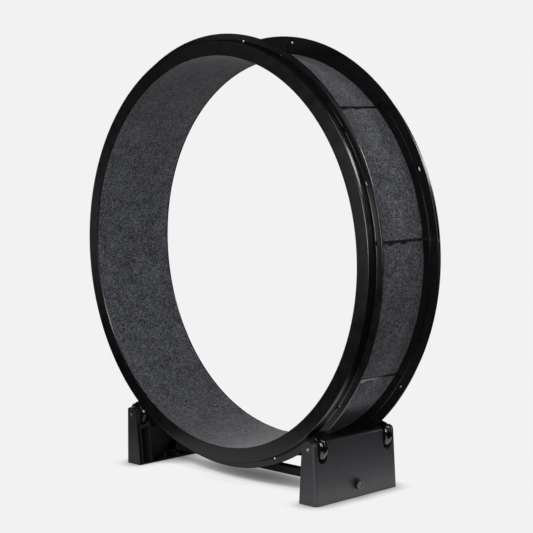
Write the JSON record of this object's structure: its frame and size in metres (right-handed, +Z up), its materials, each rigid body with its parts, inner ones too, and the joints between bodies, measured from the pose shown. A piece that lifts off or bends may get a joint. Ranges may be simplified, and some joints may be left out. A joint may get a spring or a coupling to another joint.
{
  "type": "cat exercise wheel",
  "caption": "Upright felt-lined running wheel for cats, between two black segmented rims, turning on rollers in two low floor stands tied by a crossbar.",
  "frame": {"origin": "on the floor, under the centre of the wheel, midway between the two stands and the two rims", "axes": "+X from the left stand to the right stand, +Y along the wheel's axis towards the rear rim, +Z up"},
  "size_m": [1.1798, 0.3088, 1.2209],
  "materials": {
    "rim_plastic": "glossy black moulded plastic",
    "felt": "dark grey needle felt",
    "strip_plastic": "black plastic joint strip",
    "stand_plastic": "satin black moulded plastic",
    "bar_steel": "black powder coat on a steel tube",
    "knob_plastic": "black plastic knob with its screw",
    "tyre_rubber": "glossy black polyurethane tyre",
    "hub_plastic": "black plastic hub",
    "bearing_steel": "ground bearing steel",
    "axle_steel": "bright turned steel pin",
    "foot_rubber": "black rubber foot"
  },
  "bodies": {
    "stand": {"stand_housing_left": "stand_plastic", "stand_housing_right": "stand_plastic", "crossbar": "bar_steel", "crossbar_hand_screw_left": "knob_plastic", "crossbar_hand_screw_right": "knob_plastic", "roller_axle_left_front": "axle_steel", "roller_axle_left_rear": "axle_steel", "roller_axle_right_front": "axle_steel", "roller_axle_right_rear": "axle_steel", "rubber_foot_left_front": "foot_rubber", "rubber_foot_left_rear": "foot_rubber", "rubber_foot_right_front": "foot_rubber", "rubber_foot_right_rear": "foot_rubber"},
    "wheel": {"rim_front_segment_1": "rim_plastic", "rim_front_segment_2": "rim_plastic", "rim_front_segment_3": "rim_plastic", "rim_front_segment_4": "rim_plastic", "rim_front_segment_5": "rim_plastic", "rim_front_segment_6": "rim_plastic", "rim_front_segment_7": "rim_plastic", "rim_front_segment_8": "rim_plastic", "rim_rear_segment_1": "rim_plastic", "rim_rear_segment_2": "rim_plastic", "rim_rear_segment_3": "rim_plastic", "rim_rear_segment_4": "rim_plastic", "rim_rear_segment_5": "rim_plastic", "rim_rear_segment_6": "rim_plastic", "rim_rear_segment_7": "rim_plastic", "rim_rear_segment_8": "rim_plastic", "track_panel_1": "felt", "track_panel_2": "felt", "track_panel_3": "felt", "track_panel_4": "felt", "track_panel_5": "felt", "track_panel_6": "felt", "track_panel_7": "felt", "track_panel_8": "felt", "track_panel_9": "felt", "panel_joint_strip_1": "strip_plastic", "panel_joint_strip_2": "strip_plastic", "panel_joint_strip_3": "strip_plastic", "panel_joint_strip_4": "strip_plastic", "panel_joint_strip_5": "strip_plastic", "panel_joint_strip_6": "strip_plastic", "panel_joint_strip_7": "strip_plastic", "panel_joint_strip_8": "strip_plastic", "panel_joint_strip_9": "strip_plastic", "running_mat": "felt"},
    "roller_left_front": {"roller_tyre_left_front": "tyre_rubber", "roller_hub_left_front": "hub_plastic", "roller_bearings_left_front": "bearing_steel"},
    "roller_left_rear": {"roller_tyre_left_rear": "tyre_rubber", "roller_hub_left_rear": "hub_plastic", "roller_bearings_left_rear": "bearing_steel"},
    "roller_right_front": {"roller_tyre_right_front": "tyre_rubber", "roller_hub_right_front": "hub_plastic", "roller_bearings_right_front": "bearing_steel"},
    "roller_right_rear": {"roller_tyre_right_rear": "tyre_rubber", "roller_hub_right_rear": "hub_plastic", "roller_bearings_right_rear": "bearing_steel"}
  },
  "joints": [
    {"name": "wheel_spin", "type": "hinge", "parent": "stand", "child": "wheel", "pos_m": [0, 0, 0.631], "axis": [0, 1, 0], "continuous": true},
    {"name": "roller_spin_left_front", "type": "hinge", "parent": "stand", "child": "roller_left_front", "pos_m": [-0.36608, -0.122, 0.14519], "axis": [0, 1, 0], "continuous": true},
    {"name": "roller_spin_left_rear", "type": "hinge", "parent": "stand", "child": "roller_left_rear", "pos_m": [-0.36608, 0.122, 0.14519], "axis": [0, 1, 0], "continuous": true},
    {"name": "roller_spin_right_front", "type": "hinge", "parent": "stand", "child": "roller_right_front", "pos_m": [0.36608, -0.122, 0.14519], "axis": [0, 1, 0], "continuous": true},
    {"name": "roller_spin_right_rear", "type": "hinge", "parent": "stand", "child": "roller_right_rear", "pos_m": [0.36608, 0.122, 0.14519], "axis": [0, 1, 0], "continuous": true}
  ],
  "couplings": [
    {"joint": "roller_spin_left_front", "follows": "wheel_spin", "ratio": -15.889},
    {"joint": "roller_spin_left_rear", "follows": "wheel_spin", "ratio": -15.889},
    {"joint": "roller_spin_right_front", "follows": "wheel_spin", "ratio": -15.889},
    {"joint": "roller_spin_right_rear", "follows": "wheel_spin", "ratio": -15.889}
  ]
}
